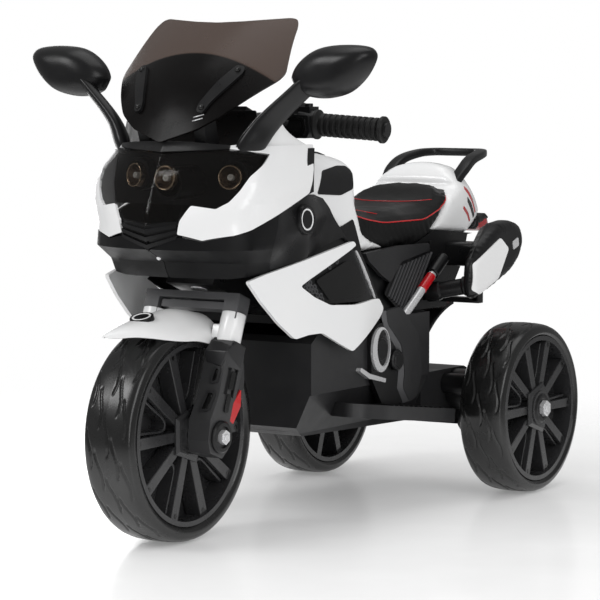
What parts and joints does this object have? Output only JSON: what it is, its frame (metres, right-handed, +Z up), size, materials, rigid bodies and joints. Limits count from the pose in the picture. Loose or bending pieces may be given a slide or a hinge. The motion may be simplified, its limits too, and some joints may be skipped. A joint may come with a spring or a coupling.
{
  "type": "kids electric motorbike",
  "caption": "Battery ride-on motorbike for a small child: raked fork with a steered front wheel, wide rear wheels, full fairing, screen, mirrors, saddle and panniers.",
  "frame": {"origin": "on the ground, on the centre plane, midway between the axles and under the middle of the overall box", "axes": "-Y is forward, +X is the bike's left, +Z is up"},
  "size_m": [0.5704, 0.9639, 0.721],
  "materials": {
    "white_gloss": "gloss",
    "black_satin": "satin",
    "charcoal": "satin",
    "rim_charcoal": "satin",
    "tyre_black": "satin",
    "smoke_lens": "gloss",
    "smoke_screen": "gloss",
    "steel": "satin",
    "red_gloss": "gloss",
    "lamp_red": "gloss",
    "lamp_silver": "gloss",
    "grip_rubber": "matte",
    "nylon": "satin",
    "case_grey": "matte",
    "seat_leather": "satin",
    "mirror_glass": "mirror"
  },
  "bodies": {
    "chassis": {"rear_axle": "steel", "drive_motor": "steel", "gearbox_case": "black_satin", "lower_tub": "black_satin", "battery": "case_grey", "control_box": "case_grey", "upper_fairing": "white_gloss", "headlight_lens": "smoke_lens", "nose_cover": "black_satin", "headlamps": "lamp_silver", "neck_covers": "black_satin", "side_fairings": "white_gloss", "side_vents": "black_satin", "tank_cover": "white_gloss", "knee_pads": "black_satin", "dash_panel": "black_satin", "seat_cushion": "seat_leather", "tail_cover": "white_gloss", "grab_rail": "black_satin", "tail_lamp": "lamp_red", "body_shell": "black_satin", "rear_mudguard": "black_satin", "footboard_left": "charcoal", "footboard_right": "charcoal", "engine_covers": "charcoal", "frame_braces": "steel", "panniers": "black_satin", "pannier_lids": "white_gloss", "windscreen": "smoke_screen", "screen_brackets": "black_satin", "mirror_arms": "black_satin", "mirror_shells": "black_satin", "mirror_glasses": "mirror_glass", "charging_socket": "black_satin"},
    "steering": {"front_axle": "steel", "fork_legs": "charcoal", "fork_tubes": "charcoal", "fork_sleeves": "white_gloss", "fork_bridge": "charcoal", "steering_stem": "steel", "fork_reflectors": "red_gloss", "front_fender": "white_gloss", "handlebar": "black_satin", "grips": "grip_rubber", "switch_pods": "black_satin"},
    "front_wheel": {"front_tyre": "tyre_black", "front_rim": "rim_charcoal", "front_wheel_bush": "nylon"},
    "rear_wheel_left": {"rear_tyre_left": "tyre_black", "rear_rim_left": "rim_charcoal", "wheel_gear": "nylon"},
    "rear_wheel_right": {"rear_tyre_right": "tyre_black", "rear_rim_right": "rim_charcoal"},
    "idler": {"idler_gear": "nylon"},
    "rotor": {"motor_pinion": "steel"},
    "horn": {"horn_button": "red_gloss"},
    "music": {"music_button": "grip_rubber"},
    "power_switch": {"power_rocker": "red_gloss"},
    "direction_switch": {"direction_rocker": "black_satin"},
    "pedal": {"accelerator_pedal": "charcoal"}
  },
  "joints": [
    {"name": "steer", "type": "hinge", "parent": "chassis", "child": "steering", "pos_m": [0, -0.332, 0.15], "axis": [0, 0.3486, 0.9373], "range_deg": [-30, 30]},
    {"name": "front_spin", "type": "hinge", "parent": "steering", "child": "front_wheel", "pos_m": [0, -0.332, 0.15], "axis": [1, 0, 0], "continuous": true},
    {"name": "rear_left_spin", "type": "hinge", "parent": "chassis", "child": "rear_wheel_left", "pos_m": [0.188, 0.332, 0.13], "axis": [1, 0, 0], "continuous": true},
    {"name": "rear_right_spin", "type": "hinge", "parent": "chassis", "child": "rear_wheel_right", "pos_m": [-0.188, 0.332, 0.13], "axis": [1, 0, 0], "continuous": true},
    {"name": "idler_spin", "type": "hinge", "parent": "chassis", "child": "idler", "pos_m": [0.118, 0.28524, 0.157], "axis": [1, 0, 0], "continuous": true},
    {"name": "motor_spin", "type": "hinge", "parent": "chassis", "child": "rotor", "pos_m": [0.111, 0.25516, 0.16795], "axis": [1, 0, 0], "continuous": true},
    {"name": "horn_press", "type": "slide", "parent": "steering", "child": "horn", "axis": [0, 0, -1], "range_m": [0, 0.0025], "stiffness_N_per_m": 200},
    {"name": "music_press", "type": "slide", "parent": "steering", "child": "music", "axis": [0, 0, -1], "range_m": [0, 0.0025], "stiffness_N_per_m": 200},
    {"name": "power_tilt", "type": "hinge", "parent": "chassis", "child": "power_switch", "pos_m": [0.028, -0.1113, 0.53], "axis": [1, 0, 0], "range_deg": [-6, 6]},
    {"name": "direction_tilt", "type": "hinge", "parent": "chassis", "child": "direction_switch", "pos_m": [-0.028, -0.1113, 0.53], "axis": [1, 0, 0], "range_deg": [-6, 6]},
    {"name": "pedal_press", "type": "hinge", "parent": "chassis", "child": "pedal", "pos_m": [-0.13, -0.004, 0.16082], "axis": [1, 0, 0], "range_deg": [0, 7], "stiffness_Nm_per_rad": 1.5}
  ],
  "couplings": [
    {"joint": "idler_spin", "follows": "rear_left_spin", "ratio": -3.5},
    {"joint": "motor_spin", "follows": "rear_left_spin", "ratio": 10.5}
  ]
}
